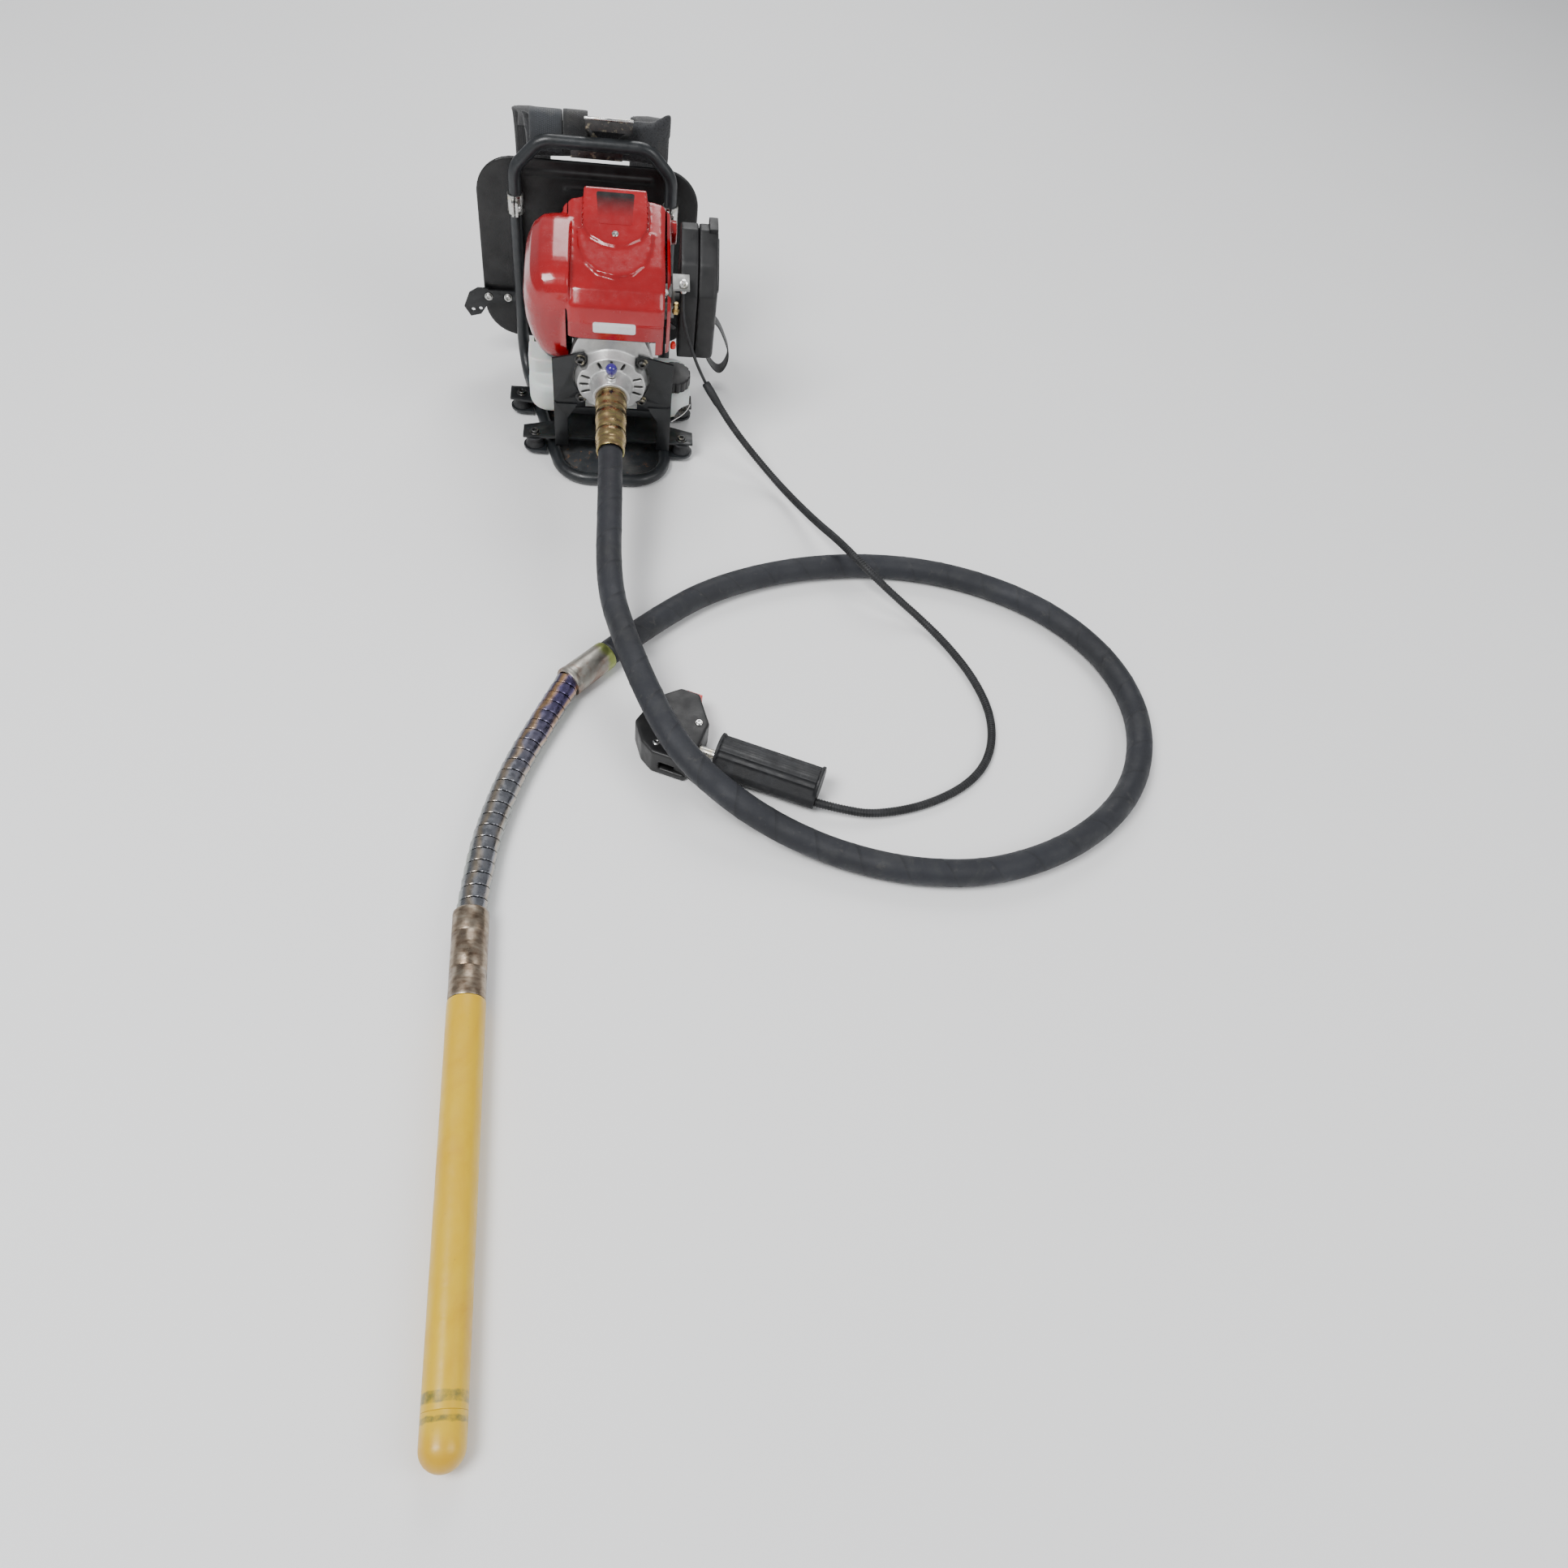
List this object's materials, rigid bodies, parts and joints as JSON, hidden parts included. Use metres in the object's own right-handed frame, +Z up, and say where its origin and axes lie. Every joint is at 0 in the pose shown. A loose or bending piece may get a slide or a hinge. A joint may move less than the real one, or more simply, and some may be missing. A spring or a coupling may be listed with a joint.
{
  "type": "concrete vibrator",
  "caption": "Petrol backpack concrete vibrator: engine on a tube frame, looped flexible shaft, steel bend guard, yellow poker head and hand throttle.",
  "frame": {"origin": "floor under the middle of the backpack base plate", "axes": "+Z up, -Y to the front where the flexible shaft leaves the engine, +X to the right seen from the front"},
  "size_m": [0.8362, 1.4954, 0.351],
  "materials": {
    "frame_paint": "satin charcoal powder coat",
    "base_paint": "scuffed dark grey paint",
    "bracket_paint": "black paint",
    "zinc": "zinc plated",
    "mount_rubber": "black rubber",
    "panel_plastic": "matt black moulding",
    "pad_cloth": "black mesh cloth over foam",
    "webbing": "woven black webbing",
    "carry_steel": "bright steel",
    "cast_alloy": "as-cast aluminium",
    "red_cover": "glossy red moulding",
    "side_plastic": "glossy red moulding",
    "black_plastic": "black moulding",
    "tank_plastic": "milky translucent",
    "knob_plastic": "polished ball",
    "sleeve_plate": "yellow chromate plate",
    "hose_rubber": "cloth-marked rubber",
    "ferrule_plate": "zinc plated, worn",
    "guard_steel": "interlocked zinc plated strip",
    "connector_steel": "oiled brown steel",
    "head_paint": "yellow enamel",
    "inner_steel": "machined steel",
    "grip_rubber": "black ribbed rubber",
    "housing_plastic": "black moulding",
    "trigger_plastic": "black moulding",
    "switch_red": "red push switch",
    "conduit_plastic": "black ribbed conduit",
    "cable_cover": "black cable outer",
    "plug_ceramic": "white insulator",
    "primer_rubber": "soft bulb"
  },
  "bodies": {
    "backpack": {"base_loop": "frame_paint", "left_upright": "frame_paint", "right_upright": "frame_paint", "top_bow": "frame_paint", "tube_clamps": "zinc", "base_plate": "base_paint", "rubber_mounts": "mount_rubber", "sub_plate": "bracket_paint", "engine_bracket": "bracket_paint", "cross_bar": "bracket_paint", "back_panel": "panel_plastic", "back_pad": "pad_cloth", "neck_pad": "pad_cloth", "strap_plate": "carry_steel", "shoulder_straps": "webbing", "strap_loop": "webbing", "frame_bolts": "zinc", "bearings": "inner_steel", "hose": "hose_rubber", "hose_ferrule": "ferrule_plate", "flex_guard": "guard_steel", "throttle_cable": "cable_cover", "cable_conduit": "conduit_plastic", "screws": "zinc", "clutch_housing": "cast_alloy", "housing_bolts": "inner_steel", "coupling_sleeve": "sleeve_plate", "crankcase": "cast_alloy", "cylinder": "cast_alloy", "recoil_housing": "black_plastic", "top_cover": "red_cover", "side_cover": "side_plastic", "muffler": "inner_steel", "spark_plug": "plug_ceramic", "air_cleaner_case": "black_plastic", "air_cleaner_cover": "black_plastic", "carburettor": "cast_alloy", "cable_adjuster": "zinc", "fuel_tank": "tank_plastic", "head_connector": "connector_steel", "head_tube": "head_paint", "head_tip": "head_paint", "handle_grip": "grip_rubber", "handle_tube": "inner_steel", "handle_housing": "housing_plastic"},
    "crank": {"crankshaft": "inner_steel", "clutch_shoes": "inner_steel", "flywheel": "cast_alloy"},
    "drum": {"clutch_drum": "inner_steel"},
    "piston_body": {"piston": "cast_alloy"},
    "starter": {"starter_grip": "black_plastic"},
    "starter_pulley": {"recoil_pulley": "black_plastic"},
    "trigger": {"throttle_trigger": "trigger_plastic"},
    "throttle": {"throttle_arm": "zinc"},
    "stop_button": {"stop_switch": "switch_red"},
    "choke": {"choke_lever": "black_plastic"},
    "primer": {"primer_bulb": "primer_rubber"},
    "cap": {"fuel_cap": "black_plastic"},
    "knob": {"lock_knob": "knob_plastic"},
    "rotor": {"eccentric_rotor": "inner_steel"}
  },
  "joints": [
    {"name": "crank_spin", "type": "hinge", "parent": "backpack", "child": "crank", "pos_m": [-0.005, -0.04591, 0.13542], "axis": [0, 0.9848, 0.1736], "continuous": true},
    {"name": "drum_spin", "type": "hinge", "parent": "backpack", "child": "drum", "pos_m": [-0.005, -0.105, 0.125], "axis": [0, 0.9848, 0.1736], "continuous": true},
    {"name": "piston_stroke", "type": "slide", "parent": "backpack", "child": "piston_body", "axis": [0, -0.1736, 0.9848], "range_m": [-0.028, 0]},
    {"name": "starter_pull", "type": "slide", "parent": "backpack", "child": "starter", "axis": [1, 0, 0], "range_m": [0, 0.06], "stiffness_N_per_m": 120, "springref_m": -0.05},
    {"name": "starter_pulley_turn", "type": "hinge", "parent": "backpack", "child": "starter_pulley", "pos_m": [-0.005, 0.03484, 0.14966], "axis": [0, 0.9848, 0.1736], "range_deg": [0, 130]},
    {"name": "trigger_squeeze", "type": "hinge", "parent": "backpack", "child": "trigger", "pos_m": [0.07529, -0.63176, 0.018], "axis": [0, 0, 1], "range_deg": [0, 12], "stiffness_Nm_per_rad": 2, "springref_deg": -11.46},
    {"name": "throttle_turn", "type": "hinge", "parent": "backpack", "child": "throttle", "pos_m": [0.056, -0.06351, 0.2237], "axis": [0, -0.1736, 0.9848], "range_deg": [-72, 0]},
    {"name": "stop_press", "type": "slide", "parent": "backpack", "child": "stop_button", "axis": [-0.3891, -0.9212, 0], "range_m": [0, 0.003], "stiffness_N_per_m": 900, "springref_m": -0.002},
    {"name": "choke_turn", "type": "hinge", "parent": "backpack", "child": "choke", "pos_m": [0.057, -0.07707, 0.19694], "axis": [0, -0.9848, -0.1736], "range_deg": [0, 60]},
    {"name": "primer_press", "type": "slide", "parent": "backpack", "child": "primer", "axis": [0, -0.1736, 0.9848], "range_m": [0, 0.004], "stiffness_N_per_m": 500, "springref_m": -0.001},
    {"name": "cap_turn", "type": "hinge", "parent": "backpack", "child": "cap", "pos_m": [0.077, -0.04719, 0.09661], "axis": [0, -0.1736, 0.9848], "range_deg": [0, 540]},
    {"name": "knob_pull", "type": "slide", "parent": "backpack", "child": "knob", "axis": [0, -0.1736, 0.9848], "range_m": [0, 0.005], "stiffness_N_per_m": 1500, "springref_m": -0.003},
    {"name": "rotor_spin", "type": "hinge", "parent": "backpack", "child": "rotor", "pos_m": [-0.12522, -1.0154, 0.0175], "axis": [0.0314, -0.9995, 0], "continuous": true}
  ],
  "couplings": [
    {"joint": "starter_pulley_turn", "follows": "starter_pull", "rad_per_m": 36.765},
    {"joint": "throttle_turn", "follows": "trigger_squeeze", "ratio": -6}
  ]
}
